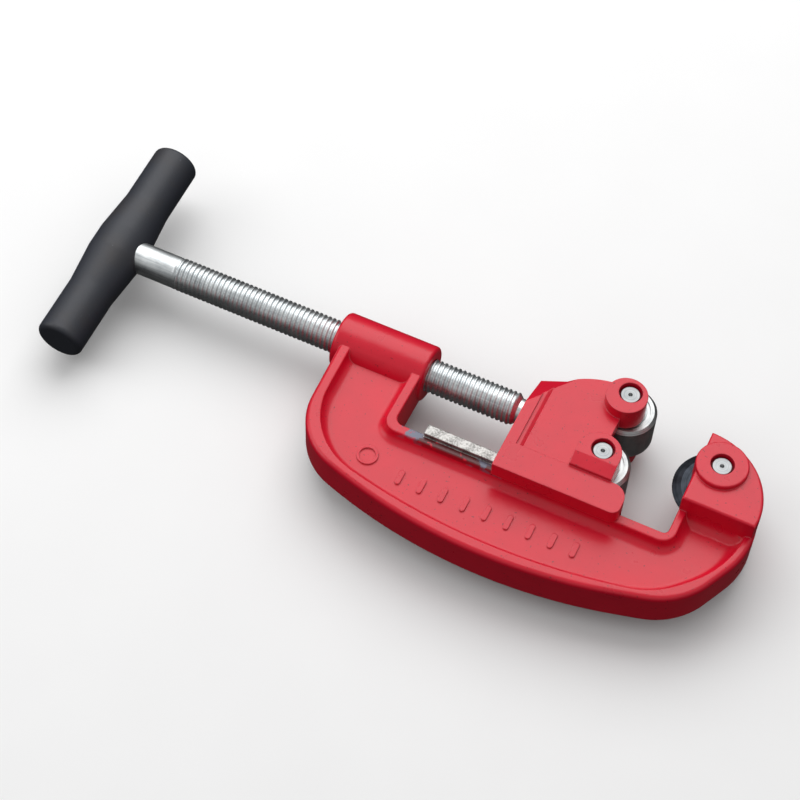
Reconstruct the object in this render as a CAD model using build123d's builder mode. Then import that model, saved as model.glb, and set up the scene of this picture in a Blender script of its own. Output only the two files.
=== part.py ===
"""Single-wheel pipe cutter for steel pipe up to 60.3 mm outside diameter.

It is drawn lying on its side.  +X runs along the feed screw from the handle to the
jaw, +Y points out of the open side of the C-frame and +Z is the thickness.  While
it is being drawn, X = Y = 0 is the cutting wheel's axis and Z = 0 the mid plane;
at the end everything is moved so that the origin is the middle of the footprint,
on the bench.
"""
from build123d import *
from math import cos, pi, radians, sin
import os

os.makedirs("parts", exist_ok=True)

# ---------------------------------------------------------------- driving sizes (mm)
# cutting wheel and rollers
wheel_r = 19.4
wheel_bevel_start_r = 15.5
wheel_half_blade = 2.1
wheel_hub_r = 9.6
wheel_half_width = 7.9
roller_r = 13.7
roller_half_width = 10.1
roller_x = -50.0
roller_y = roller_r + 2.4
side_gap = 0.3

# feed screw
thread_r = 7.94
thread_pitch = 2.309
shank_r = thread_r - 0.24
spigot_r = 6.0
thread_start_x = -274.0
thread_end_x = -97.8
thrust_face_x = -70.6
running_gap = 0.08
thrust_disc_thickness = 2.0

# T-handle, resting a few degrees out of the bench's plane
handle_x = -305.2
handle_half_length = 57.8
handle_end_r = 11.4
handle_bulge_r = 13.4
handle_flat_half = 6.0
handle_cone_half = 27.0
handle_turn = 4.2
eye_overhang = 9.0
bar_r = 5.0
bar_half_length = handle_half_length - 5.0

# C-frame casting: half thicknesses and the window between its arms
rim_half = 10.0
web_half = 4.2
ear_half = 19.2
rest_half = 21.6
window_left_x = -141.4
window_right_x = -10.1
window_floor_y = -36.8
screw_boss_r = 13.5
screw_boss_left_x = -186.6
screw_boss_right_x = -140.3
rim_width = 4.7
rim_outer_fillet = 2.4
rim_edge_fillet = 0.8
web_floor_fillet = 4.8
rail_left_x = -126.3
rail_right_x = -37.0
rail_top_y = -32.9
rail_bottom_y = -38.0
rail_half = 12.5

# carriage casting
carriage_left_x = -91.4
carriage_right_x = -32.2
base_top_y = -28.3
base_bottom_y = -43.0
base_half = 18.4
cheek_half = 17.6
cheek_inner = roller_half_width + 0.9
upper_boss_half = 23.4
lower_boss_half = 22.0
slide_gap = 0.25

# axle pins, clips and washers
pin_shank_r = 3.9
pin_head_r = 4.7
pin_head_height = 2.5
pin_head_recess = 1.6
head_pocket_r = 5.4
clip_pocket_r = 6.6
clip_pocket_depth = 4.3
clip_r = 5.9
clip_groove_r = 3.0
clip_thickness = 1.0
clip_mouth = 3.6
washer_r = 8.5
washer_thickness = 0.6
pin_edge_chamfer = 0.5
pin_centre_depth = 1.5
pin_tail = 1.6
clip_band = 1.7
clip_tooth_width = 2.2

# tangential pins that keep the screw in the carriage
lock_pin_x = -85.3
lock_pin_r = 1.75
lock_groove_r = 4.6
lock_pin_y = lock_groove_r + lock_pin_r + 0.1
lock_pin_top = 9.0
lock_pin_bottom = -15.0

# edges of the castings
ear_fillet = 1.2
boss_rim_fillet = 0.8
screw_boss_end_round = 1.8
carriage_lower_corner_r = 4.0
carriage_upper_corner_r = 7.0

# C-frame outlines: each corner is x, y and the radius of its arc
jaw_r = 34.3
jaw_centre = (window_right_x, -18.6)
jaw_heel_draft = 0.4
jaw_bottom_y = -22.6
beam_top_y = -6.0
beam_corners = [
    (screw_boss_left_x + 3.6, beam_top_y, 0),
    (-180.6, -62.4, 33),
    (-88.5, -92.6, 245),
    (8.4, -66.7, 35),
    (26.5, -29.6, 40),
    (24.0, -16.0, 0),
    (window_right_x, -16.0, 0),
    (window_right_x, window_floor_y, 2.5),
    (window_left_x, window_floor_y, 4),
    (window_left_x, beam_top_y, 0),
]
web_top_y = beam_top_y - 2.0
web_right_x = window_right_x + rim_width - 1.0
web_corners = [
    (-177.2, web_top_y, 0),
    (-175.4, -61.4, 37),
    (-81.8, -83.5, 290),
    (-4.4, -66.3, 39),
    (19.7, -41.1, 48),
    (20.6, jaw_bottom_y, 0),
    (web_right_x, jaw_bottom_y, 0),
    (web_right_x, window_floor_y - rim_width, 7),
    (window_left_x - rim_width, window_floor_y - rim_width, 7),
    (window_left_x - rim_width, web_top_y, 0),
]
wheel_boss_r = 11.9
wheel_slot_half = wheel_half_width + side_gap
wheel_slot_r = wheel_r + 1.6
mark_ring_centre = (-146.0, -55.0)
mark_dashes = 9
first_dash_offset = (18.0, -4.2)
dash_spacing = 10.5
mark_height = 0.8
mark_length = 8.0
mark_width = 2.6
mark_ring_r = 5.0

# carriage outline, its bosses and the room inside it
upper_boss = (roller_x - 1.0, roller_y - 2.1)
upper_boss_r = 9.5
lower_boss = (roller_x - 1.0, -roller_y - 2.1)
lower_boss_r = 10.0
shoulder_y = 13.6
shoulder_x = -79.0
shoulder_half = 9.3
shoulder_edge = [(carriage_left_x, -3.9), (shoulder_x + 1.5, shoulder_y - 0.2)]
shoulder_cut = 60.0
boss_slope_y = -22.0
boss_slope_half = 19.8
cheek_right_x = roller_x
roller_room_r = roller_r + 1.0
flange_width = 5.2
groove_width = 3.4
groove_depth = 1.7
groove_top_y = 7.4
flange_top_y = 2.8
room_left_step = 3.0
room_overrun = 2.0
room_height = 40.0
cheek_overlap = 4.0
over = 1.0

# small turned and moulded shapes
wheel_edge_half = 0.12
roller_chamfer = 1.4
roller_ring_r = 10.6
roller_ring_inner_r = washer_r + 0.4
roller_ring_depth = 0.8
small_chamfer = 0.3
bar_chamfer = 0.8
shank_end_chamfer = 0.6
thread_start_chamfer = 0.4
thread_end_chamfer = 2.0
spigot_chamfer = 1.0
lock_groove_gap = 0.2
pin_centre_r = 0.3
pin_centre_taper = -25
grip_end_round = 2.5
grip_cone_blend = 25.0
grip_middle_blend = 6.0

# heights of the clips behind the cheeks
clip_front = -rest_half + clip_pocket_depth
clip_back = clip_front - clip_thickness
pin_back = clip_back - pin_tail

pieces = {}


def keep(name, piece):
    """Label a finished piece and put it on the list of parts."""
    piece.label = name
    pieces[name] = piece


def on_both_sides(height):
    """The two planes that lie this far in front of and behind the mid plane."""
    return [(Plane.XY.offset(height), 1), (Plane.XY.offset(-height), -1)]


# ---------------------------------------------------------------- C-frame casting

def rounded(corners):
    """Closed outline of straight runs with an arc of the given radius at each corner."""
    points = [(x, y) for x, y, _ in corners]
    radii = [radius for _, _, radius in corners]
    return FilletPolyline(*points, radius=radii, close=True)


def rim_face(frame, side):
    """The flat face of the rims, in front (1) or behind (-1)."""
    faces = frame.faces().filter_by(Plane.XY)
    faces = faces.filter_by_position(Axis.Z, side * rim_half - 0.01, side * rim_half + 0.01)
    return faces.sort_by(SortBy.AREA)[-1]


def at_the_window(edge):
    """Whether an edge of the beam borders the window."""
    middle = edge.center()
    within = window_left_x - 1 < middle.X < window_right_x + 1
    return within and middle.Y > window_floor_y - 1


def along_the_back(edge):
    """Whether an edge of the beam belongs to its long outer curve."""
    level = edge.geom_type == GeomType.LINE and abs(edge.tangent_at(0.5).Y) < 0.01
    return not level and not at_the_window(edge)


def make_frame():
    with BuildPart() as frame:
        # beam with its raised rims
        with BuildSketch(Plane.XY):
            with BuildLine():
                rounded(beam_corners)
            make_face()
        extrude(amount=rim_half, both=True)
        # web panel, sunk from both faces with a wide fillet round its floor
        for plane, side in on_both_sides(web_half):
            with BuildSketch(plane):
                with BuildLine():
                    rounded(web_corners)
                make_face()
            extrude(amount=side * rim_half, mode=Mode.SUBTRACT)
        for side in (1, -1):
            floor_edges = frame.edges().filter_by_position(Axis.Z, side * web_half, side * web_half)
            fillet(floor_edges, radius=web_floor_fillet)
        for side in (1, -1):
            lip = rim_face(frame, side).inner_wires()[0].edges()
            fillet(lip, radius=rim_edge_fillet)
            outline = rim_face(frame, side).outer_wire().edges()
            window = outline.filter_by(at_the_window)
            fillet(window, radius=rim_edge_fillet)
            outline = rim_face(frame, side).outer_wire().edges()
            back = outline.filter_by(along_the_back)
            fillet(back, radius=rim_outer_fillet)
        # jaw: a quarter disc with a pointed tip
        with BuildSketch(Plane.XY):
            with BuildLine():
                tip = (jaw_centre[0], jaw_centre[1] + jaw_r)
                crown = (
                    jaw_centre[0] + jaw_r * sin(radians(45)),
                    jaw_centre[1] + jaw_r * cos(radians(45)),
                )
                heel = (jaw_centre[0] + jaw_r, jaw_centre[1])
                ThreePointArc(tip, crown, heel)
                Polyline(
                    heel,
                    (heel[0] - jaw_heel_draft, jaw_bottom_y),
                    (window_right_x, jaw_bottom_y),
                    tip,
                )
            make_face()
        extrude(amount=ear_half, both=True)
        for side in (1, -1):
            ear_edges = frame.edges().filter_by_position(Axis.Z, side * ear_half, side * ear_half)
            fillet(ear_edges, radius=ear_fillet)
        # round bosses for the wheel pin
        with BuildSketch(Plane.XY):
            Circle(wheel_boss_r)
        extrude(amount=rest_half, both=True)
        for side in (1, -1):
            rim = frame.edges().filter_by_position(Axis.Z, side * rest_half, side * rest_half)
            fillet(rim, radius=boss_rim_fillet)
        # boss for the feed screw, with rounded ends
        with BuildSketch(Plane.XY):
            with BuildLine():
                rounded([
                    (screw_boss_left_x, 0, 0),
                    (screw_boss_left_x, screw_boss_r, screw_boss_end_round),
                    (screw_boss_right_x, screw_boss_r, screw_boss_end_round),
                    (screw_boss_right_x, 0, 0),
                ])
            make_face()
        revolve(axis=Axis.X)
        # rail that the carriage runs on
        with BuildSketch(Plane.XY):
            with Locations(((rail_left_x + rail_right_x) / 2, (rail_top_y + rail_bottom_y) / 2)):
                Rectangle(rail_right_x - rail_left_x, rail_top_y - rail_bottom_y)
        extrude(amount=rail_half, both=True)
        # slot for the wheel, open towards the pipe and at the tip
        with BuildSketch(Plane.XY):
            Circle(wheel_slot_r)
            with Locations((0, jaw_r / 2)):
                Rectangle(2 * wheel_slot_r, jaw_r)
        extrude(amount=wheel_slot_half, both=True, mode=Mode.SUBTRACT)
        # bore for the screw
        with BuildSketch(Plane.YZ.offset(screw_boss_left_x)):
            Circle(thread_r + running_gap)
        extrude(amount=screw_boss_right_x - screw_boss_left_x, mode=Mode.SUBTRACT)
        # bore and pockets for the wheel pin
        cut_pin_seat((0, 0), rest_half)
        # plain raised casting marks on the front of the web: a ring, then a row of dashes
        with BuildSketch(Plane.XY.offset(web_half)):
            with Locations(mark_ring_centre):
                Circle(mark_ring_r)
                Circle(mark_ring_r - mark_width / 2, mode=Mode.SUBTRACT)
            for number in range(mark_dashes):
                dash_x = mark_ring_centre[0] + first_dash_offset[0] + dash_spacing * number
                with Locations((dash_x, mark_ring_centre[1] + first_dash_offset[1])):
                    SlotOverall(mark_length, mark_width, rotation=90)
        extrude(amount=mark_height)
    keep("frame", frame.part)


def cut_pin_seat(centre, front):
    """Bore right through, head pocket in front and clip pocket behind, in the open part."""
    x, y = centre
    with Locations(Location((x, y, front))):
        CounterBoreHole(
            radius=pin_shank_r + running_gap,
            counter_bore_radius=head_pocket_r,
            counter_bore_depth=pin_head_recess + pin_head_height,
            depth=front + rest_half,
        )
    with Locations(Location((x, y, -rest_half), (180, 0, 0))):
        Hole(radius=clip_pocket_r, depth=clip_pocket_depth)


# ---------------------------------------------------------------- carriage casting

def make_carriage():
    with BuildPart() as carriage:
        # body and cheeks, drawn as one block
        with BuildSketch(Plane.XY):
            with BuildLine():
                arch_start = (shoulder_x, shoulder_y)
                arch_end = (upper_boss[0] - 4.5, upper_boss[1] + 8.2)
                arch_middle = (shoulder_x + 10.5, shoulder_y + 6.0)
                ThreePointArc(arch_start, arch_middle, arch_end)
                Polyline(
                    arch_end,
                    (cheek_right_x, arch_end[1]),
                    (cheek_right_x, base_bottom_y + cheek_overlap),
                    (carriage_left_x, base_bottom_y + cheek_overlap),
                    (carriage_left_x, shoulder_y),
                    arch_start,
                )
            make_face()
        extrude(amount=cheek_half, both=True)
        # base skirt that wraps the rail
        with BuildSketch(Plane.XY):
            with BuildLine():
                rounded([
                    (carriage_left_x, base_bottom_y, 0),
                    (carriage_right_x, base_bottom_y, carriage_lower_corner_r),
                    (carriage_right_x, base_top_y, carriage_upper_corner_r),
                    (carriage_left_x, base_top_y, 0),
                ])
            make_face()
        extrude(amount=base_half, both=True)
        # raised flange along the edge that faces the screw boss
        with BuildSketch(Plane.XY):
            with Locations((carriage_left_x + flange_width / 2, (base_top_y + flange_top_y) / 2)):
                Rectangle(flange_width, flange_top_y - base_top_y)
        extrude(amount=base_half, both=True)
        # groove beside the flange, with a sloping floor
        groove_x = carriage_left_x + flange_width
        for side in (1, -1):
            with BuildSketch(Plane.XZ.offset(-groove_top_y)):
                with BuildLine():
                    Polyline(
                        (groove_x, side * (base_half + over)),
                        (groove_x, side * base_half),
                        (groove_x + groove_width, side * (base_half - groove_depth)),
                        (groove_x + groove_width, side * (base_half + over)),
                        close=True,
                    )
                make_face()
            extrude(amount=groove_top_y - base_top_y, mode=Mode.SUBTRACT)
        # sloping shoulder above the screw socket
        for side in (1, -1):
            start = Vector(*shoulder_edge[0], side * cheek_half)
            along = Vector(*shoulder_edge[1], side * cheek_half) - start
            down = Vector(carriage_left_x, shoulder_y, side * shoulder_half) - start
            with BuildSketch(Plane(start, x_dir=along, z_dir=along.cross(down) * side)):
                Rectangle(shoulder_cut, shoulder_cut)
            extrude(amount=shoulder_cut / 2, mode=Mode.SUBTRACT)
        # bosses for the roller pins
        for sketch_plane, upper_height, lower_height in (
            (Plane.XY, upper_boss_half, lower_boss_half),
            (Plane.XY, -rest_half, -rest_half),
        ):
            with BuildSketch(sketch_plane):
                with Locations(upper_boss):
                    Circle(upper_boss_r)
            extrude(amount=upper_height)
            with BuildSketch(sketch_plane):
                with Locations(lower_boss):
                    Circle(lower_boss_r)
                with Locations((lower_boss[0], (lower_boss[1] + base_top_y) / 2)):
                    Rectangle(2 * lower_boss_r, lower_boss[1] - base_top_y)
            extrude(amount=lower_height)
        # the lower boss slopes down to the base
        with BuildSketch(Plane.YZ.offset(lower_boss[0] - lower_boss_r - over)):
            with BuildLine():
                Polyline(
                    (boss_slope_y, lower_boss_half),
                    (base_top_y - over, boss_slope_half),
                    (base_top_y - over, lower_boss_half + over),
                    (boss_slope_y, lower_boss_half + over),
                    close=True,
                )
            make_face()
        extrude(amount=2 * (lower_boss_r + over), mode=Mode.SUBTRACT)
        # room for the two rollers between the cheeks
        with BuildSketch(Plane.XY):
            with Locations((roller_x, roller_y), (roller_x, -roller_y)):
                Circle(roller_room_r)
            room_left = roller_x - roller_room_r + room_left_step
            room_right = carriage_right_x + room_overrun
            room_bottom = -roller_y - roller_room_r
            with Locations(((room_left + room_right) / 2, 0)):
                Rectangle(room_right - room_left, 2 * roller_y)
            with Locations(((roller_x + room_right) / 2, (room_bottom + room_height) / 2)):
                Rectangle(room_right - roller_x, room_height - room_bottom)
            with Locations(((upper_boss[0] + roller_x) / 2, roller_y + room_height / 2)):
                Rectangle(2 * roller_room_r, room_height)
        extrude(amount=cheek_inner, both=True, mode=Mode.SUBTRACT)
        # rail slot with lips that hook under the rail
        slot_length = carriage_right_x - carriage_left_x + 2 * room_overrun
        slot_x = (carriage_left_x + carriage_right_x) / 2
        slot_top = rail_top_y + slide_gap
        lip_y = rail_bottom_y - slide_gap
        with BuildSketch(Plane.XY):
            with Locations((slot_x, (slot_top + lip_y) / 2)):
                Rectangle(slot_length, slot_top - lip_y)
        extrude(amount=rail_half + slide_gap, both=True, mode=Mode.SUBTRACT)
        with BuildSketch(Plane.XY):
            with Locations((slot_x, (slot_top + base_bottom_y) / 2 - over)):
                Rectangle(slot_length, slot_top - base_bottom_y + 2 * over)
        extrude(amount=rim_half + slide_gap, both=True, mode=Mode.SUBTRACT)
        # socket for the screw's spigot and the thrust disc
        with BuildSketch(Plane.YZ.offset(carriage_left_x - over)):
            Circle(spigot_r + running_gap)
        extrude(amount=thrust_face_x + thrust_disc_thickness - carriage_left_x + over, mode=Mode.SUBTRACT)
        # holes for the pins that keep the screw in
        with BuildSketch(Plane.XY.offset(-base_half - over)):
            with Locations((lock_pin_x, lock_pin_y), (lock_pin_x, -lock_pin_y)):
                Circle(lock_pin_r)
        extrude(amount=base_half + over + lock_pin_top, mode=Mode.SUBTRACT)
        # seats for the roller pins
        cut_pin_seat((roller_x, roller_y), upper_boss_half)
        cut_pin_seat((roller_x, -roller_y), lower_boss_half)
    keep("carriage", carriage.part)


# ---------------------------------------------------------------- pieces in the carriage
def make_thrust_disc():
    with BuildPart() as disc:
        with BuildSketch(Plane.YZ.offset(thrust_face_x)):
            Circle(spigot_r)
        extrude(amount=thrust_disc_thickness)
        chamfer(disc.edges().filter_by(GeomType.CIRCLE), length=small_chamfer)
    keep("thrust_disc", disc.part)


def make_lock_pin(name, y):
    with BuildPart() as pin:
        with BuildSketch(Plane.XY.offset(lock_pin_bottom)):
            with Locations((lock_pin_x, y)):
                Circle(lock_pin_r)
        extrude(amount=lock_pin_top - lock_pin_bottom)
        chamfer(pin.edges().filter_by(GeomType.CIRCLE), length=small_chamfer)
    keep(name, pin.part)


# ---------------------------------------------------------------- axle pins and clips
def pin_face(front):
    """Height of an axle pin's visible end."""
    return front - pin_head_recess


def make_axle_pin(name, centre, front):
    """Headed pin with a turned centre in the head and a groove for its clip."""
    face = pin_face(front)
    with BuildPart() as pin:
        with BuildSketch(Plane.XY.offset(pin_back)):
            with Locations(centre):
                Circle(pin_shank_r)
        extrude(amount=face - pin_back)
        with BuildSketch(Plane.XY.offset(face - pin_head_height)):
            with Locations(centre):
                Circle(pin_head_r)
        extrude(amount=pin_head_height)
        rims = pin.edges().filter_by(GeomType.CIRCLE)
        chamfer(rims.filter_by_position(Axis.Z, face, face), length=pin_edge_chamfer)
        chamfer(rims.filter_by_position(Axis.Z, pin_back, pin_back), length=pin_edge_chamfer)
        with BuildSketch(Plane.XY.offset(clip_back)):
            with Locations(centre):
                Circle(pin_shank_r + over)
                Circle(clip_groove_r, mode=Mode.SUBTRACT)
        extrude(amount=clip_thickness, mode=Mode.SUBTRACT)
        with BuildSketch(Plane.XY.offset(face - pin_centre_depth)):
            with Locations(centre):
                Circle(pin_centre_r)
        extrude(amount=pin_centre_depth, taper=pin_centre_taper, mode=Mode.SUBTRACT)
    keep(name, pin.part)


def make_clip(name, centre):
    """Flat open clip with three inner teeth that sits in a pin's groove."""
    with BuildPart() as clip:
        with BuildSketch(Plane.XY.offset(clip_back)):
            with Locations(centre):
                Circle(clip_r)
                Circle(clip_r - clip_band, mode=Mode.SUBTRACT)
            tooth_end_r = clip_r - clip_band / 2
            tooth_middle_r = (clip_groove_r + tooth_end_r) / 2
            for turn in (90, 180, 270):
                tooth_x = centre[0] + tooth_middle_r * cos(radians(turn))
                tooth_y = centre[1] + tooth_middle_r * sin(radians(turn))
                with Locations((tooth_x, tooth_y)):
                    Rectangle(tooth_end_r - clip_groove_r, clip_tooth_width, rotation=turn)
            with Locations(centre):
                Circle(clip_groove_r, mode=Mode.SUBTRACT)
            with Locations((centre[0] + clip_r, centre[1])):
                Rectangle(2 * clip_r, clip_mouth, mode=Mode.SUBTRACT)
        extrude(amount=clip_thickness)
    keep(name, clip.part)


# ---------------------------------------------------------------- rollers, washers, wheel
def make_roller(name, y):
    """Steel roller with chamfered rims and a turned ring in each face."""
    with BuildPart() as roller:
        with BuildSketch(Plane.XY):
            with Locations((roller_x, y)):
                Circle(roller_r)
        extrude(amount=roller_half_width, both=True)
        chamfer(roller.edges().filter_by(GeomType.CIRCLE), length=roller_chamfer)
        for plane, side in on_both_sides(roller_half_width):
            with BuildSketch(plane):
                with Locations((roller_x, y)):
                    Circle(roller_ring_r)
                    Circle(roller_ring_inner_r, mode=Mode.SUBTRACT)
            extrude(amount=-side * roller_ring_depth, mode=Mode.SUBTRACT)
        with BuildSketch(Plane.XY):
            with Locations((roller_x, y)):
                Circle(pin_shank_r + running_gap)
        extrude(amount=roller_half_width, both=True, mode=Mode.SUBTRACT)
    keep(name, roller.part)


def make_washer(name, y, side):
    """Thin washer between a roller and the cheek."""
    with BuildPart() as washer:
        with BuildSketch(Plane.XY.offset(side * cheek_inner)):
            with Locations((roller_x, y)):
                Circle(washer_r)
                Circle(pin_shank_r + running_gap, mode=Mode.SUBTRACT)
        extrude(amount=-side * washer_thickness)
    keep(name, washer.part)


def make_wheel():
    """Hardened wheel: wide hub, flat disc and a two-sided bevel to the cutting edge."""
    with BuildPart() as wheel:
        with BuildSketch(Plane.XZ):
            with BuildLine():
                Polyline(
                    (pin_shank_r + running_gap, -wheel_half_width),
                    (wheel_hub_r, -wheel_half_width),
                    (wheel_hub_r, -wheel_half_blade),
                    (wheel_bevel_start_r, -wheel_half_blade),
                    (wheel_r, -wheel_edge_half),
                    (wheel_r, wheel_edge_half),
                    (wheel_bevel_start_r, wheel_half_blade),
                    (wheel_hub_r, wheel_half_blade),
                    (wheel_hub_r, wheel_half_width),
                    (pin_shank_r + running_gap, wheel_half_width),
                    close=True,
                )
            make_face()
        revolve(axis=Axis.Z)
    keep("cutter_wheel", wheel.part)


# ---------------------------------------------------------------- feed screw and handle
def make_feed_screw():
    """Feed screw; the threaded stretch is a plain cylinder at the crest diameter."""
    eye_end_x = handle_x - eye_overhang
    neck_x = thread_end_x + thread_end_chamfer
    groove_half = lock_pin_r + lock_groove_gap
    with BuildPart() as screw:
        with BuildSketch(Plane.XY):
            with BuildLine():
                Polyline(
                    (eye_end_x, 0),
                    (eye_end_x, shank_r - shank_end_chamfer),
                    (eye_end_x + shank_end_chamfer, shank_r),
                    (thread_start_x, shank_r),
                    (thread_start_x + thread_start_chamfer, thread_r),
                    (thread_end_x, thread_r),
                    (neck_x, spigot_r),
                    (lock_pin_x - groove_half, spigot_r),
                    (lock_pin_x - groove_half, lock_groove_r),
                    (lock_pin_x + groove_half, lock_groove_r),
                    (lock_pin_x + groove_half, spigot_r),
                    (thrust_face_x - spigot_chamfer, spigot_r),
                    (thrust_face_x, spigot_r - spigot_chamfer),
                    (thrust_face_x, 0),
                    close=True,
                )
            make_face()
        revolve(axis=Axis.X)
        with BuildSketch(Plane.XZ):
            with Locations((handle_x, 0)):
                Circle(bar_r)
        extrude(amount=2 * shank_r, both=True, mode=Mode.SUBTRACT)
    keep("feed_screw", screw.part.rotate(Axis.X, handle_turn))


def make_handle_bar():
    with BuildPart() as bar:
        with BuildSketch(Plane.XZ):
            with Locations((handle_x, 0)):
                Circle(bar_r)
        extrude(amount=bar_half_length, both=True)
        chamfer(bar.edges().filter_by(GeomType.CIRCLE), length=bar_chamfer)
    keep("handle_bar", bar.part.rotate(Axis.X, handle_turn))


def make_handle_grip():
    """Moulded grip: round bar that swells into a cone on both sides of the screw."""
    with BuildPart() as grip:
        with BuildSketch(Plane.XY):
            with BuildLine():
                outline = [
                    (handle_x, -handle_half_length),
                    (handle_x + handle_end_r, -handle_half_length),
                    (handle_x + handle_end_r, -handle_cone_half),
                    (handle_x + handle_bulge_r, -handle_flat_half),
                    (handle_x + handle_bulge_r, handle_flat_half),
                    (handle_x + handle_end_r, handle_cone_half),
                    (handle_x + handle_end_r, handle_half_length),
                    (handle_x, handle_half_length),
                ]
                half_rounds = [0, grip_end_round, grip_cone_blend, grip_middle_blend]
                FilletPolyline(*outline, radius=half_rounds + half_rounds[::-1], close=True)
            make_face()
        revolve(axis=Axis((handle_x, 0, 0), (0, 1, 0)))
        with BuildSketch(Plane.XZ):
            with Locations((handle_x, 0)):
                Circle(bar_r)
        extrude(amount=bar_half_length, both=True, mode=Mode.SUBTRACT)
        with BuildSketch(Plane.YZ.offset(handle_x - eye_overhang)):
            Circle(shank_r)
        extrude(amount=eye_overhang + 2 * handle_bulge_r, mode=Mode.SUBTRACT)
    keep("handle_grip", grip.part.rotate(Axis.X, handle_turn))


# ---------------------------------------------------------------- build and export
make_frame()
make_carriage()
make_thrust_disc()
make_lock_pin("upper_lock_pin", lock_pin_y)
make_lock_pin("lower_lock_pin", -lock_pin_y)
make_feed_screw()
make_handle_bar()
make_handle_grip()
make_wheel()
make_axle_pin("wheel_pin", (0, 0), rest_half)
make_clip("wheel_pin_clip", (0, 0))
for name, y, front in (("upper", roller_y, upper_boss_half), ("lower", -roller_y, lower_boss_half)):
    make_roller(name + "_roller", y)
    make_washer(name + "_roller_front_washer", y, 1)
    make_washer(name + "_roller_rear_washer", y, -1)
    make_axle_pin(name + "_roller_pin", (roller_x, y), front)
    make_clip(name + "_roller_clip", (roller_x, y))

footprint = Compound(list(pieces.values())).bounding_box()
to_bench = Location((
    -(footprint.min.X + footprint.max.X) / 2,
    -(footprint.min.Y + footprint.max.Y) / 2,
    -footprint.min.Z,
))
for name, piece in pieces.items():
    export_step(piece.moved(to_bench), "parts/" + name + ".step")
print("wheel axis stands at", *(round(v, 5) for v in to_bench.position))
print("screw lead per turn", thread_pitch, "mm, or", thread_pitch / 1000 / (2 * pi), "m per radian")
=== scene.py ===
# %% [markdown]
# # A heavy pipe cutter
# The tool is a C-shaped cast frame with a cutter wheel in its jaw. A carriage with two rollers
# runs on a rail in the frame, and a long feed screw with a T handle pushes it. The CAD model
# already has the right shapes and sizes, so this file loads it as a fixed frame, gives each part
# its real surface, and makes the one shape that CAD leaves plain: the thread of the feed screw.

# %% Load the CAD model
import math

import bmesh
import bpy
from mathutils import Matrix, Vector


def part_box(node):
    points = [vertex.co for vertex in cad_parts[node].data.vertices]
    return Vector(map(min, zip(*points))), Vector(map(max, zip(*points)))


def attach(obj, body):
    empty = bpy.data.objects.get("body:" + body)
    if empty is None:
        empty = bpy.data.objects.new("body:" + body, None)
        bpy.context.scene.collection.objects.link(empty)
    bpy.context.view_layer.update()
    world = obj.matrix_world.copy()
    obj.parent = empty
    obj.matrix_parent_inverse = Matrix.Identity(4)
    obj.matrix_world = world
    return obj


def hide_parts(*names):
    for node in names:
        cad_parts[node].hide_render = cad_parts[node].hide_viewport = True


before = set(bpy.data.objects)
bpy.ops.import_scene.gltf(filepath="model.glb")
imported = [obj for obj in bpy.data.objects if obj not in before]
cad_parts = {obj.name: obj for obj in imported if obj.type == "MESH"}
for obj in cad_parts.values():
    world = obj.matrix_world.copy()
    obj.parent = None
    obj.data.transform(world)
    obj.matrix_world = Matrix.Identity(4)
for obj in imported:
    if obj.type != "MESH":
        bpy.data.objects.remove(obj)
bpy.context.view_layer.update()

# %% [markdown]
# ## Measuring from the wheel
# A maker would measure every place on this tool from the middle of the cutter wheel's pin, because
# the jaw, the rollers and the screw all line up with it. The wheel's own box gives that point, and
# one helper turns millimetres from it into a place in the scene.

# %% A place measured in millimetres from the wheel's middle
MM = 0.001
wheel_low, wheel_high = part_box("cutter_wheel")
wheel_middle = (wheel_low + wheel_high) / 2


def place(x, y, z):
    return wheel_middle + Vector((x, y, z)) * MM


print("the wheel's middle is at", [round(v, 4) for v in wheel_middle])

# %% [markdown]
# ## Small helpers for materials
# Paint and metal colours are read off swatches as sRGB hex values, but Blender mixes light in
# linear values, so one function converts them. Another turns the real size of a pattern into a
# texture scale. A third adds a node, sets it up and wires it, so that each material below reads as
# a short recipe.


# %% From a swatch to linear colour, and from a size to a scale
def linear(swatch):
    values = [int(swatch[i:i + 2], 16) / 255 for i in (0, 2, 4)]
    return [v / 12.92 if v <= 0.04045 else ((v + 0.055) / 1.055) ** 2.4 for v in values] + [1.0]


def scale_for(size_in_mm):
    return 1 / (size_in_mm * MM)


ENAMEL_DARK, ENAMEL_LIGHT = "C60A28", "DC0D2E"
print("enamel red in linear values:", [round(v, 3) for v in linear(ENAMEL_DARK)])


# %% One function that adds a node
def add(tree, kind, wires=None, **settings):
    node = tree.nodes.new(kind)
    for setting, value in settings.items():
        setattr(node, setting, value)
    for socket, value in (wires or {}).items():
        if isinstance(value, bpy.types.NodeSocket):
            tree.links.new(value, node.inputs[socket])
        else:
            node.inputs[socket].default_value = value
    return node


# %% Start a material with its shader and its coordinates
def start_material(name):
    material = bpy.data.materials.new(name)
    material.use_nodes = True
    tree = material.node_tree
    tree.nodes.clear()
    shader = add(tree, "ShaderNodeBsdfPrincipled")
    add(tree, "ShaderNodeOutputMaterial", {"Surface": shader.outputs["BSDF"]})
    where = add(tree, "ShaderNodeTexCoord").outputs["Object"]
    return material, tree, shader, where


def cover(material, *nodes):
    for node in nodes:
        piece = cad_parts[node]
        piece.data.materials.clear()
        piece.data.materials.append(material)
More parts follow.
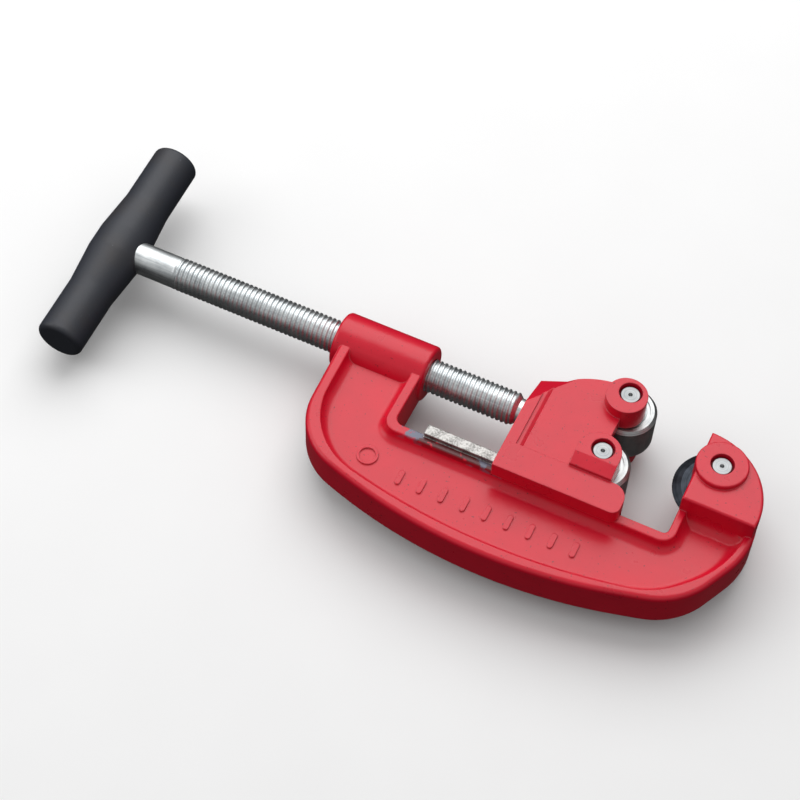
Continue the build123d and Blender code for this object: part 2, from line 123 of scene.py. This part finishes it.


# %% [markdown]
# ## Marking out a place inside one piece
# A casting is one mesh, yet parts of it are planed bare, rubbed by the carriage, or darkened with
# painted shade. Cutting the mesh there would spoil the casting, so a box in Object coordinates marks
# the place inside the shader: the mask is how deep a point lies inside the box, faded over a short
# soft edge.


# %% A soft box mask
def inside_box(tree, where, low, high, soft_mm):
    offset = add(tree, "ShaderNodeVectorMath", {0: where, 1: (low + high) / 2}, operation="SUBTRACT")
    away = add(tree, "ShaderNodeVectorMath", {0: offset.outputs[0]}, operation="ABSOLUTE")
    spare = add(tree, "ShaderNodeVectorMath", {0: (high - low) / 2, 1: away.outputs[0]},
                operation="SUBTRACT")
    parts = add(tree, "ShaderNodeSeparateXYZ", {0: spare.outputs[0]})
    least = add(tree, "ShaderNodeMath", {0: parts.outputs[0], 1: parts.outputs[1]},
                operation="MINIMUM")
    least = add(tree, "ShaderNodeMath", {0: least.outputs[0], 1: parts.outputs[2]},
                operation="MINIMUM")
    faded = add(tree, "ShaderNodeMapRange", {"Value": least.outputs[0], 1: 0.0, 2: soft_mm * MM})
    return faded.outputs[0]


# %% [markdown]
# ## Red enamel on cast iron
# The frame and the carriage are sand castings dipped in thick gloss enamel. The paint rounds every
# edge, sags a little into an orange-peel skin, and shows the casting's slow waves below it. It
# could be made with a bumpy mesh, but the waves are about a tenth of a millimetre high, so bump in
# the shader is enough. The Bevel node rounds the edges as the paint does. A pale line is painted
# along every edge as a painted highlight, where the rounded enamel catches the light, and small pits
# show where sand was left in the skin of the casting.

# %% Sizes of the enamel's marks, in millimetres
CLOUD_MM, WAVE_MM, PEEL_MM, PIT_MM = 14, 9, 1.6, 1.3
WAVE_HEIGHT_MM, PEEL_HEIGHT_MM, PAINT_EDGE_MM = 0.12, 0.016, 0.7
# the first colour is a painted highlight put along every edge; the second is the dark red of sand pits
PAINTED_EDGE_HIGHLIGHT, PIT_RED = "F4808A", "6A0A16"
print("enamel waves of", WAVE_MM, "mm and orange peel of", PEEL_MM, "mm")


# %% The enamel recipe
def enamel(name, bare=None):
    material, tree, shader, where = start_material(name)
    clouds = add(tree, "ShaderNodeTexNoise",
                 {"Vector": where, "Scale": scale_for(CLOUD_MM), "Detail": 3})
    paint = add(tree, "ShaderNodeMix",
                {0: clouds.outputs["Fac"], 6: linear(ENAMEL_DARK), 7: linear(ENAMEL_LIGHT)},
                data_type="RGBA")
    peel = add(tree, "ShaderNodeTexNoise", {"Vector": where, "Scale": scale_for(PEEL_MM), "Detail": 1})
    waves = add(tree, "ShaderNodeTexNoise", {"Vector": where, "Scale": scale_for(WAVE_MM), "Detail": 2})
    rounded = add(tree, "ShaderNodeBevel", {"Radius": PAINT_EDGE_MM * MM}, samples=6)
    facing = add(tree, "ShaderNodeNewGeometry").outputs["True Normal"]
    turned = add(tree, "ShaderNodeVectorMath", {0: rounded.outputs["Normal"], 1: facing},
                 operation="DOT_PRODUCT")
    # painted highlight: where the Bevel normal turns away from the true normal, the pale colour is
    # mixed into the paint along the edge
    edge = add(tree, "ShaderNodeMapRange",
               {"Value": turned.outputs["Value"], 1: 0.95, 2: 0.78, 3: 0.0, 4: 0.5})
    lined = add(tree, "ShaderNodeMix",
                {0: edge.outputs[0], 6: paint.outputs[2], 7: linear(PAINTED_EDGE_HIGHLIGHT)}, data_type="RGBA")
    sand = add(tree, "ShaderNodeTexNoise", {"Vector": where, "Scale": scale_for(PIT_MM), "Detail": 2})
    pits = add(tree, "ShaderNodeMapRange",
               {"Value": sand.outputs["Fac"], 1: 0.68, 2: 0.74, 3: 0.0, 4: 0.8})
    pitted = add(tree, "ShaderNodeMix", {0: pits.outputs[0], 6: lined.outputs[2], 7: linear(PIT_RED)},
                 data_type="RGBA")
    wavy = add(tree, "ShaderNodeBump",
               {"Strength": 1, "Distance": WAVE_HEIGHT_MM * MM, "Height": waves.outputs["Fac"],
                "Normal": rounded.outputs["Normal"]})
    skin = add(tree, "ShaderNodeBump",
               {"Strength": 1, "Distance": PEEL_HEIGHT_MM * MM, "Height": peel.outputs["Fac"],
                "Normal": wavy.outputs["Normal"]})
    dullness = add(tree, "ShaderNodeMapRange", {"Value": clouds.outputs["Fac"], 3: 0.24, 4: 0.34})
    colour, rough = pitted.outputs[2], dullness.outputs[0]
    if bare:
        colour, rough, metal = bare(tree, where, colour, rough)
        tree.links.new(metal, shader.inputs["Metallic"])
    tree.links.new(colour, shader.inputs["Base Color"])
    tree.links.new(rough, shader.inputs["Roughness"])
    tree.links.new(skin.outputs["Normal"], shader.inputs["Normal"])
    shader.inputs["IOR"].default_value = 1.5
    return material


# %% [markdown]
# ## The bare rail, and the rubbed strip under it with painted shade
# The top and the faces of the rail are planed after painting, so that the carriage slides on iron.
# The cutter leaves slanted marks, and the iron is grey and speckled. Real marks are about a
# millimetre apart; they are drawn 6.9 mm apart, as broad faint bands. Under the rail the strip on
# the rim is painted dark as painted shade, standing for the shade and reflection of the rail and the
# screw. Near its ends the lips of the carriage rub the paint to a grey-blue primer. Boxes mark these
# places, so the casting stays one piece.

# %% Where the rail and the strip are
rail_low, rail_high = place(-126.6, -38.3, -12.6), place(-36.7, -32.6, 12.6)
# the first colour is painted shade for the strip under the rail, the shade and reflection of the rail
# and the screw; the second is grey-blue primer where the paint is rubbed
SHADE_UNDER_RAIL, PRIMER = "56090F", "6C7083"
# low corner, high corner, colour, and how much of the box stays red (more with a higher level)
RUBBED_AND_SHADED = [
    # this box is painted shade: the dark strip under the rail
    (place(-130, -42.4, 7), place(-88, -36, 13), SHADE_UNDER_RAIL, 0.34),
    (place(-139, -42.0, 7), place(-125.5, -35, 13), PRIMER, 0.46),
    (place(-104, -42.4, 7), place(-86, -37.6, 13), PRIMER, 0.52),
]
BLOTCH_MM, PLANING_MM, SPECK_MM, PLANING_SLANT = 5, 6.9115, 0.9, math.radians(35)
print("rail from", [round(v, 4) for v in rail_low], "to", [round(v, 4) for v in rail_high])


# %% Rubbed paint and painted shade, then planed iron
def planed_rail_and_painted_shade(tree, where, colour, rough):
    blotches = add(tree, "ShaderNodeTexNoise",
                   {"Vector": where, "Scale": scale_for(BLOTCH_MM), "Detail": 3})
    # each box mixes its colour into the paint: the dark one is painted shade, the grey-blue ones are
    # rubbed paint
    for low, high, swatch, level in RUBBED_AND_SHADED:
        ragged = add(tree, "ShaderNodeMapRange",
                     {"Value": blotches.outputs["Fac"], 1: level, 2: level + 0.06})
        near = inside_box(tree, where, low, high, 1.5)
        mask = add(tree, "ShaderNodeMath", {0: near, 1: ragged.outputs[0]}, operation="MULTIPLY")
        colour = add(tree, "ShaderNodeMix", {0: mask.outputs[0], 6: colour, 7: linear(swatch)},
                     data_type="RGBA").outputs[2]
    planed = inside_box(tree, where, rail_low, rail_high, 0.05)
    slant = add(tree, "ShaderNodeMapping", {"Vector": where, "Rotation": (0, 0, PLANING_SLANT)})
    # at a scale of 1 the bands of a wave texture repeat every 2 pi / 20 units
    bands = scale_for(PLANING_MM) * 2 * math.pi / 20
    marks = add(tree, "ShaderNodeTexWave",
                {"Vector": slant.outputs[0], "Scale": bands, "Distortion": 2, "Detail": 2})
    specks = add(tree, "ShaderNodeTexNoise",
                 {"Vector": where, "Scale": scale_for(SPECK_MM), "Detail": 4})
    spread = add(tree, "ShaderNodeMath", {0: marks.outputs["Fac"], 1: 0.15, 2: specks.outputs["Fac"]},
                 operation="MULTIPLY_ADD")
    iron = add(tree, "ShaderNodeMapRange", {"Value": spread.outputs[0], 1: 0.42, 2: 0.68})
    shade = add(tree, "ShaderNodeMix", {0: iron.outputs[0], 6: linear("787674"), 7: linear("B4B2AF")},
                data_type="RGBA")
    mixed = add(tree, "ShaderNodeMix", {0: planed, 6: colour, 7: shade.outputs[2]},
                data_type="RGBA")
    dull = add(tree, "ShaderNodeMix", {0: planed, 2: rough, 3: 0.42})
    metal = add(tree, "ShaderNodeMath", {0: planed, 1: 0.85}, operation="MULTIPLY")
    return mixed.outputs[2], dull.outputs[0], metal.outputs[0]


# %% Paint the two castings
cover(enamel("red enamel on cast iron frame", planed_rail_and_painted_shade), "frame")
cover(enamel("red enamel on cast iron carriage"), "carriage")
print("painted: frame and carriage")

# %% [markdown]
# ## Turned steel
# The rollers, the pins, the washers and the wheel come off a lathe, which leaves fine rings round
# the axis. The rings are drawn from the distance to the piece's own axis. Real rings are about
# 0.1 mm apart; they are drawn at 0.5 mm, and at 0.8 mm on the wheel, so that they show.

# %% Sizes of the lathe's marks, in millimetres
RING_MM, WHEEL_RING_MM, STAIN_MM, RING_DEPTH_MM, STEEL_EDGE_MM = 0.5, 0.8, 4, 0.006, 0.25
print("rings drawn", RING_MM, "mm apart")


# %% The turned steel recipe
def turned_steel(name, node, dark, light, roughness, ring_mm=RING_MM):
    material, tree, shader, where = start_material(name)
    low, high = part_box(node)
    offset = add(tree, "ShaderNodeVectorMath", {0: where, 1: (low + high) / 2},
                 operation="SUBTRACT")
    flat = add(tree, "ShaderNodeVectorMath", {0: offset.outputs[0], 1: (1, 1, 0)},
               operation="MULTIPLY")
    radius = add(tree, "ShaderNodeVectorMath", {0: flat.outputs[0]}, operation="LENGTH")
    rings = add(tree, "ShaderNodeTexNoise",
                {"W": radius.outputs["Value"], "Scale": scale_for(ring_mm), "Detail": 2},
                noise_dimensions="1D")
    stains = add(tree, "ShaderNodeTexNoise",
                 {"Vector": where, "Scale": scale_for(STAIN_MM), "Detail": 4})
    blend = add(tree, "ShaderNodeMix", {0: 0.5, 2: rings.outputs["Fac"], 3: stains.outputs["Fac"]})
    shade = add(tree, "ShaderNodeMapRange", {"Value": blend.outputs[0], 1: 0.35, 2: 0.65})
    colour = add(tree, "ShaderNodeMix", {0: shade.outputs[0], 6: linear(dark), 7: linear(light)},
                 data_type="RGBA")
    edges = add(tree, "ShaderNodeBevel", {"Radius": STEEL_EDGE_MM * MM}, samples=4)
    cut = add(tree, "ShaderNodeBump",
              {"Strength": 1, "Distance": RING_DEPTH_MM * MM, "Height": rings.outputs["Fac"],
               "Normal": edges.outputs["Normal"]})
    tree.links.new(colour.outputs[2], shader.inputs["Base Color"])
    tree.links.new(cut.outputs["Normal"], shader.inputs["Normal"])
    dull = add(tree, "ShaderNodeMapRange",
               {"Value": stains.outputs["Fac"], 3: roughness - 0.05, 4: roughness + 0.08})
    tree.links.new(dull.outputs[0], shader.inputs["Roughness"])
    shader.inputs["Metallic"].default_value = 1.0
    return material


# %% Rollers, pins, washers, clips and the wheel
# finish, dark and light swatch, roughness, and the nodes that have it
STEELS = [
    ("turned steel ", "9A9C9D", "C8CAC9", 0.36, ("upper_roller", "lower_roller")),
    ("turned pin steel ", "7C7F81", "A6A8A9", 0.36,
     ("upper_roller_pin", "lower_roller_pin", "wheel_pin")),
    ("stamped washer steel ", "8E9092", "C2C4C6", 0.38,
     ("upper_roller_front_washer", "upper_roller_rear_washer", "lower_roller_front_washer",
      "lower_roller_rear_washer")),
    ("spring steel ", "2E3033", "55585C", 0.4,
     ("upper_roller_clip", "lower_roller_clip", "wheel_pin_clip")),
    ("plain steel ", "85878A", "B4B6B8", 0.36,
     ("thrust_disc", "upper_lock_pin", "lower_lock_pin", "handle_bar")),
]
for finish, dark, light, roughness, nodes in STEELS:
    for node in nodes:
        cover(turned_steel(finish + node, node, dark, light, roughness), node)
cover(turned_steel("hardened tool steel", "cutter_wheel", "24272B", "3E4249", 0.32, WHEEL_RING_MM),
      "cutter_wheel")
print("turned steel on", 1 + sum(len(row[-1]) for row in STEELS), "pieces")

# %% [markdown]
# ## Moulded handle
# The T handle is black glass-filled nylon over a steel bar. The mould leaves a fine matt grain.
# Hands have left brownish patches on it, and small pale scuffs.

# %% Sizes of the nylon's marks, in millimetres
GRAIN_MM, SCUFF_MM, PATCH_MM, GRAIN_DEPTH_MM, NYLON_EDGE_MM = 0.9, 2.6, 18, 0.03, 1.0
print("nylon grain of", GRAIN_MM, "mm")

# %% The moulded nylon recipe
moulding, tree, shader, where = start_material("black moulded nylon")
grain = add(tree, "ShaderNodeTexNoise", {"Vector": where, "Scale": scale_for(GRAIN_MM), "Detail": 3})
scuffs = add(tree, "ShaderNodeTexNoise",
             {"Vector": where, "Scale": scale_for(SCUFF_MM), "Detail": 6, "Roughness": 0.7})
scuffed = add(tree, "ShaderNodeMapRange", {"Value": scuffs.outputs["Fac"], 1: 0.66, 2: 0.78})
handled = add(tree, "ShaderNodeTexNoise",
              {"Vector": where, "Scale": scale_for(PATCH_MM), "Detail": 3})
browned = add(tree, "ShaderNodeMapRange",
              {"Value": handled.outputs["Fac"], 1: 0.5, 2: 0.72, 3: 0.0, 4: 0.6})
body = add(tree, "ShaderNodeMix", {0: browned.outputs[0], 6: linear("2A2D35"), 7: linear("322E2E")},
           data_type="RGBA")
black = add(tree, "ShaderNodeMix", {0: scuffed.outputs[0], 6: body.outputs[2], 7: linear("6A6E76")},
            data_type="RGBA")
edges = add(tree, "ShaderNodeBevel", {"Radius": NYLON_EDGE_MM * MM}, samples=4)
pores = add(tree, "ShaderNodeBump",
            {"Strength": 1, "Distance": GRAIN_DEPTH_MM * MM, "Height": grain.outputs["Fac"],
             "Normal": edges.outputs["Normal"]})
dull = add(tree, "ShaderNodeMapRange", {"Value": grain.outputs["Fac"], 3: 0.42, 4: 0.58})
tree.links.new(black.outputs[2], shader.inputs["Base Color"])
tree.links.new(dull.outputs[0], shader.inputs["Roughness"])
tree.links.new(pores.outputs["Normal"], shader.inputs["Normal"])
shader.inputs["IOR"].default_value = 1.53
cover(moulding, "handle_grip")
print("moulded handle done")

# %% [markdown]
# ## Zinc-plated screw steel
# The screw is bright zinc-plated steel. The plating is smooth on the shank and breaks the light
# into small glints on the thread.

# %% The zinc recipe
zinc, tree, shader, where = start_material("zinc plated steel")
CLOUDY_ZINC_MM, STREAK_MM, STREAK_DEPTH_MM = 6, 0.8, 0.01
patches = add(tree, "ShaderNodeTexNoise",
              {"Vector": where, "Scale": scale_for(CLOUDY_ZINC_MM), "Detail": 5})
drawn = add(tree, "ShaderNodeMapping", {"Vector": where, "Scale": (0.05, 1, 1)})
streaks = add(tree, "ShaderNodeTexNoise",
              {"Vector": drawn.outputs[0], "Scale": scale_for(STREAK_MM), "Detail": 3})
blend = add(tree, "ShaderNodeMix", {0: 0.6, 2: patches.outputs["Fac"], 3: streaks.outputs["Fac"]})
bright = add(tree, "ShaderNodeMapRange", {"Value": blend.outputs[0], 1: 0.3, 2: 0.7})
colour = add(tree, "ShaderNodeMix", {0: bright.outputs[0], 6: linear("B4BABD"), 7: linear("F4F7F7")},
             data_type="RGBA")
dull = add(tree, "ShaderNodeMapRange", {"Value": patches.outputs["Fac"], 3: 0.3, 4: 0.44})
film = add(tree, "ShaderNodeBump",
           {"Strength": 1, "Distance": STREAK_DEPTH_MM * MM, "Height": streaks.outputs["Fac"]})
tree.links.new(colour.outputs[2], shader.inputs["Base Color"])
tree.links.new(dull.outputs[0], shader.inputs["Roughness"])
tree.links.new(film.outputs["Normal"], shader.inputs["Normal"])
shader.inputs["Metallic"].default_value = 1.0
print("zinc plating done")

# %% [markdown]
# ## The feed screw
# The thread is right-handed with a pitch of 2.309 mm, and it follows a rule, so Geometry Nodes make
# it. A flat grid is rolled round the screw's axis: four rows of points to each pitch are the two
# sides of the crest and the two sides of the root, and each column is moved on by its share of a
# pitch, which turns rings into one true helix. A texture could only look like a thread from one
# side; this one catches light like a cut thread. The plain ends are turned first, ring by ring, and
# the tree joins the thread between them.

# %% Sizes of the screw, in millimetres from the wheel's middle
THREAD_START, THREAD_END = -274.0, -95.8
CREST_R, ROOT_R, SHANK_R, SPIGOT_R, GROOVE_R = 7.94, 7.2, 7.7, 6.0, 4.6
GROOVE_START, GROOVE_END = -87.25, -83.35
SHANK_CHAMFER, TIP_CHAMFER = 0.6, 1
PITCH = 2.309
SIDES = 48
screw_low, screw_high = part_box("feed_screw")
screw_axis = (screw_low + screw_high) / 2
print("screw axis at y", round(screw_axis.y, 5), "z", round(screw_axis.z, 5))


# %% Rings of points turned round the screw's axis
def turn_rings(shape, profile):
    """Adds rings for (x, radius) pairs; a radius of 0 closes the end with one point."""
    previous = None
    for x, radius in profile:
        if radius == 0:
            middle = (place(x, 0, 0).x, screw_axis.y, screw_axis.z)
            ring = [shape.verts.new(middle)] * SIDES
        else:
            ring = []
            for side in range(SIDES):
                angle = 2 * math.pi * side / SIDES
                ring.append(shape.verts.new((
                    place(x, 0, 0).x,
                    screw_axis.y + radius * MM * math.cos(angle),
                    screw_axis.z + radius * MM * math.sin(angle))))
        if previous:
            for side in range(SIDES):
                after = (side + 1) % SIDES
                corners = [previous[side], ring[side], ring[after], previous[after]]
                shape.faces.new(list(dict.fromkeys(corners)))
        previous = ring


# %% The plain ends of the screw
eye_end = (screw_low.x - wheel_middle.x) / MM
tip = (screw_high.x - wheel_middle.x) / MM
shape = bmesh.new()
turn_rings(shape, [
    (eye_end, 0), (eye_end, SHANK_R - SHANK_CHAMFER), (eye_end + SHANK_CHAMFER, SHANK_R),
    (THREAD_START, SHANK_R)])
turn_rings(shape, [
    (THREAD_END, SPIGOT_R), (GROOVE_START, SPIGOT_R), (GROOVE_START, GROOVE_R),
    (GROOVE_END, GROOVE_R), (GROOVE_END, SPIGOT_R), (tip - TIP_CHAMFER, SPIGOT_R),
    (tip, SPIGOT_R - TIP_CHAMFER), (tip, 0)])
ends = bpy.data.meshes.new("feed screw ends")
shape.to_mesh(ends)
shape.free()
screw = bpy.data.objects.new("threaded_screw", ends)
bpy.context.scene.collection.objects.link(screw)
print("plain ends:", len(ends.vertices), "points")

# %% The thread's node tree and its named inputs
thread = bpy.data.node_groups.new("Thread round a shaft", "GeometryNodeTree")
thread.is_modifier = True
thread.interface.new_socket("Geometry", in_out="INPUT", socket_type="NodeSocketGeometry")
thread.interface.new_socket("Geometry", in_out="OUTPUT", socket_type="NodeSocketGeometry")
sockets = {}
for label, kind in (
        ("Start", "Float"), ("End", "Float"), ("Pitch", "Float"), ("Crest radius", "Float"),
        ("Root radius", "Float"), ("Shank radius", "Float"), ("End radius", "Float"),
        ("Sides", "Int"), ("Axis Y", "Float"), ("Axis Z", "Float"), ("Finish", "Material")):
    socket = thread.interface.new_socket(label, in_out="INPUT", socket_type="NodeSocket" + kind)
    sockets[label] = socket.identifier
given = add(thread, "NodeGroupInput").outputs
print("inputs:", ", ".join(sockets))


# %% Short sums inside the tree
def sum_of(operation, *values):
    return add(thread, "ShaderNodeMath", dict(enumerate(values)), operation=operation).outputs[0]


# %% Rows and columns of the flat grid
length = sum_of("SUBTRACT", given["End"], given["Start"])
turns = sum_of("ADD", sum_of("CEIL", sum_of("DIVIDE", length, given["Pitch"])), 2.0)
steps = sum_of("MULTIPLY", turns, 4.0)
grid = add(thread, "GeometryNodeMeshGrid", {
    "Size X": steps, "Size Y": given["Sides"],
    "Vertices X": sum_of("ADD", steps, 1.0), "Vertices Y": sum_of("ADD", given["Sides"], 1.0)})
flat = add(thread, "ShaderNodeSeparateXYZ", {0: add(thread, "GeometryNodeInputPosition").outputs[0]})
row = sum_of("ROUND", sum_of("ADD", flat.outputs[0], sum_of("MULTIPLY", steps, 0.5)))
column = sum_of("ADD", flat.outputs[1], sum_of("MULTIPLY", given["Sides"], 0.5))
turned = sum_of("DIVIDE", column, given["Sides"])

# %% Where each point sits along the screw
CREST_SHARE = 0.2
corner = sum_of("MODULO", row, 4.0)
crest_or_root = sum_of("FLOOR", sum_of("MULTIPLY", corner, 0.5))
near_or_far = sum_of("MODULO", corner, 2.0)
share = sum_of("ADD", sum_of("MULTIPLY", crest_or_root, 0.5),
               sum_of("MULTIPLY", near_or_far, CREST_SHARE))
whole = sum_of("SUBTRACT", sum_of("FLOOR", sum_of("MULTIPLY", row, 0.25)), 1.0)
along = sum_of("MULTIPLY", sum_of("ADD", sum_of("ADD", whole, share), turned), given["Pitch"])
free_x = sum_of("ADD", along, given["Start"])
x = sum_of("MINIMUM", sum_of("MAXIMUM", free_x, given["Start"]), given["End"])

# %% How far each point stands from the axis
RUN_OUT_TURNS = 1.5
depth = sum_of("SUBTRACT", given["Crest radius"], given["Root radius"])
cut_r = sum_of("SUBTRACT", given["Crest radius"], sum_of("MULTIPLY", crest_or_root, depth))
run_out = sum_of("MULTIPLY", given["Pitch"], RUN_OUT_TURNS)
deep = add(thread, "ShaderNodeMapRange", {
    "Value": sum_of("SUBTRACT", x, given["Start"]), 1: 0.0, 2: run_out, 3: 0.0, 4: 1.0},
    interpolation_type="SMOOTHSTEP").outputs[0]
above_shank = sum_of("SUBTRACT", cut_r, given["Shank radius"])
near_shank = sum_of("ADD", given["Shank radius"], sum_of("MULTIPLY", deep, above_shank))
lead_in = sum_of("ADD", given["End radius"], sum_of("SUBTRACT", given["End"], x))
radius = sum_of("MINIMUM", near_shank, lead_in)

# %% Roll the grid up, join it to the plain ends and give it its finish
WELD_MM, SHARP_ANGLE = 0.002, math.radians(28)
angle = sum_of("MULTIPLY", turned, 2 * math.pi)
rolled = add(thread, "ShaderNodeCombineXYZ", {
    0: x,
    1: sum_of("ADD", given["Axis Y"], sum_of("MULTIPLY", radius, sum_of("COSINE", angle))),
    2: sum_of("ADD", given["Axis Z"], sum_of("MULTIPLY", radius, sum_of("SINE", angle)))})
shaped = add(thread, "GeometryNodeSetPosition",
             {"Geometry": grid.outputs["Mesh"], "Position": rolled.outputs[0]})
joined = add(thread, "GeometryNodeJoinGeometry", {"Geometry": shaped.outputs[0]})
thread.links.new(given["Geometry"], joined.inputs[0])
welded = add(thread, "GeometryNodeMergeByDistance",
             {"Geometry": joined.outputs[0], "Distance": WELD_MM * MM})
smooth = add(thread, "GeometryNodeSetShadeSmooth", {"Geometry": welded.outputs[0]})
fold = add(thread, "GeometryNodeInputMeshEdgeAngle")
sharp = sum_of("GREATER_THAN", fold.outputs["Unsigned Angle"], SHARP_ANGLE)
edged = add(thread, "GeometryNodeStoreNamedAttribute",
            {"Geometry": smooth.outputs[0], "Name": "sharp_edge", "Value": sharp},
            data_type="BOOLEAN", domain="EDGE")
real = add(thread, "GeometryNodeRealizeInstances", {"Geometry": edged.outputs[0]})
finished = add(thread, "GeometryNodeSetMaterial",
               {"Geometry": real.outputs[0], "Material": given["Finish"]})
add(thread, "NodeGroupOutput", {"Geometry": finished.outputs[0]})
print("thread tree has", len(thread.nodes), "nodes")

# %% Cut the thread on the screw, then keep it as a plain mesh
cutting = screw.modifiers.new("thread", "NODES")
cutting.node_group = thread
for label, value in (
        ("Start", place(THREAD_START, 0, 0).x), ("End", place(THREAD_END, 0, 0).x),
        ("Pitch", PITCH * MM), ("Crest radius", CREST_R * MM), ("Root radius", ROOT_R * MM),
        ("Shank radius", SHANK_R * MM), ("End radius", SPIGOT_R * MM), ("Sides", SIDES),
        ("Axis Y", screw_axis.y), ("Axis Z", screw_axis.z), ("Finish", zinc)):
    cutting[sockets[label]] = value
evaluated = screw.evaluated_get(bpy.context.evaluated_depsgraph_get())
cut_mesh = bpy.data.meshes.new_from_object(evaluated)
screw.modifiers.remove(cutting)
screw.data = cut_mesh
print("feed screw:", len(cut_mesh.vertices), "points,", len(cut_mesh.polygons), "faces")

# %% Turn all its faces outwards and let it stand for the CAD screw
shape = bmesh.new()
shape.from_mesh(cut_mesh)
bmesh.ops.recalc_face_normals(shape, faces=shape.faces)
open_edges = sum(1 for edge in shape.edges if len(edge.link_faces) != 2)
shape.to_mesh(cut_mesh)
shape.free()
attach(screw, "screw")
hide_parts("feed_screw")
print("open edges on the screw:", open_edges)

# %% [markdown]
# ## Studio
# A plain pale floor and soft light. One big box hangs behind and above the tool, where it is
# mirrored in the top faces and puts a soft pale veil on the enamel; the sides face away from it and
# stay deep red. The floor doesn't show in the paint, so the sides keep their depth.

# %% The floor, a hair below the tool
FLOOR_HALF, FLOOR_Z = 4, -0.0002
corners = [(-FLOOR_HALF, -FLOOR_HALF), (FLOOR_HALF, -FLOOR_HALF), (FLOOR_HALF, FLOOR_HALF),
           (-FLOOR_HALF, FLOOR_HALF)]
floor_mesh = bpy.data.meshes.new("floor")
floor_mesh.from_pydata([(x, y, FLOOR_Z) for x, y in corners], [], [(0, 1, 2, 3)])
floor = bpy.data.objects.new("floor", floor_mesh)
bpy.context.scene.collection.objects.link(floor)
paper, tree, shader, where = start_material("pale studio paper")
fibres = add(tree, "ShaderNodeTexNoise", {"Vector": where, "Scale": scale_for(60), "Detail": 2})
tone = add(tree, "ShaderNodeMix", {0: fibres.outputs["Fac"], 6: linear("F1F1F1"), 7: linear("F5F5F5")},
           data_type="RGBA")
tree.links.new(tone.outputs[2], shader.inputs["Base Color"])
shader.inputs["Roughness"].default_value = 0.95
floor_mesh.materials.append(paper)
floor.visible_diffuse = False
floor.visible_glossy = False

# %% The camera
azimuth, elevation, roll = math.radians(23.36), math.radians(55.72), math.radians(2.57)
target, distance = place(-146.98, -18.85, 0), 0.9403
right = Vector((math.cos(azimuth), math.sin(azimuth), 0))
back = Vector((math.sin(azimuth) * math.cos(elevation), -math.cos(azimuth) * math.cos(elevation),
               math.sin(elevation)))
up = back.cross(right)
tilted_right = right * math.cos(roll) + up * math.sin(roll)
tilted_up = up * math.cos(roll) - right * math.sin(roll)
lens = bpy.data.cameras.new("camera")
lens.lens = 92.46
lens.sensor_width = 36
camera = bpy.data.objects.new("camera", lens)
bpy.context.scene.collection.objects.link(camera)
turn = Matrix((tilted_right, tilted_up, back)).transposed().to_4x4()
camera.matrix_world = Matrix.Translation(target + back * distance) @ turn
bpy.context.scene.camera = camera
print("camera stands at", [round(v, 3) for v in camera.location])


# %% Soft boxes
def soft_box(name, direction, away, size, power):
    light = bpy.data.lights.new(name, "AREA")
    light.shape = "RECTANGLE"
    light.size, light.size_y = size
    light.energy = power
    box = bpy.data.objects.new(name, light)
    bpy.context.scene.collection.objects.link(box)
    towards = Vector(direction).normalized()
    box.location = towards * away
    box.rotation_euler = towards.to_track_quat("Z", "Y").to_euler()
    print(name, "at", [round(v, 2) for v in box.location])


soft_box("box behind and above", (-back.x, -back.y, back.z), 1.3, (1.5, 1.3), 12.5)
soft_box("fill from the left", (-0.9, -0.25, 0.6), 1.4, (0.9, 0.9), 4)

# %% Soft room light, dim below the table line
world = bpy.data.worlds.new("studio")
bpy.context.scene.world = world
world.use_nodes = True
tree = world.node_tree
tree.nodes.clear()
looking = add(tree, "ShaderNodeSeparateXYZ", {0: add(tree, "ShaderNodeTexCoord").outputs["Generated"]})
height = add(tree, "ShaderNodeMapRange",
             {"Value": looking.outputs[2], 1: -0.05, 2: 0.6, 3: 0.04, 4: 0.55})
room = add(tree, "ShaderNodeBackground", {"Color": (1, 1, 1, 1), "Strength": height.outputs[0]})
add(tree, "ShaderNodeOutputWorld", {"Surface": room.outputs[0]})
bpy.context.scene.view_settings.view_transform = "Standard"
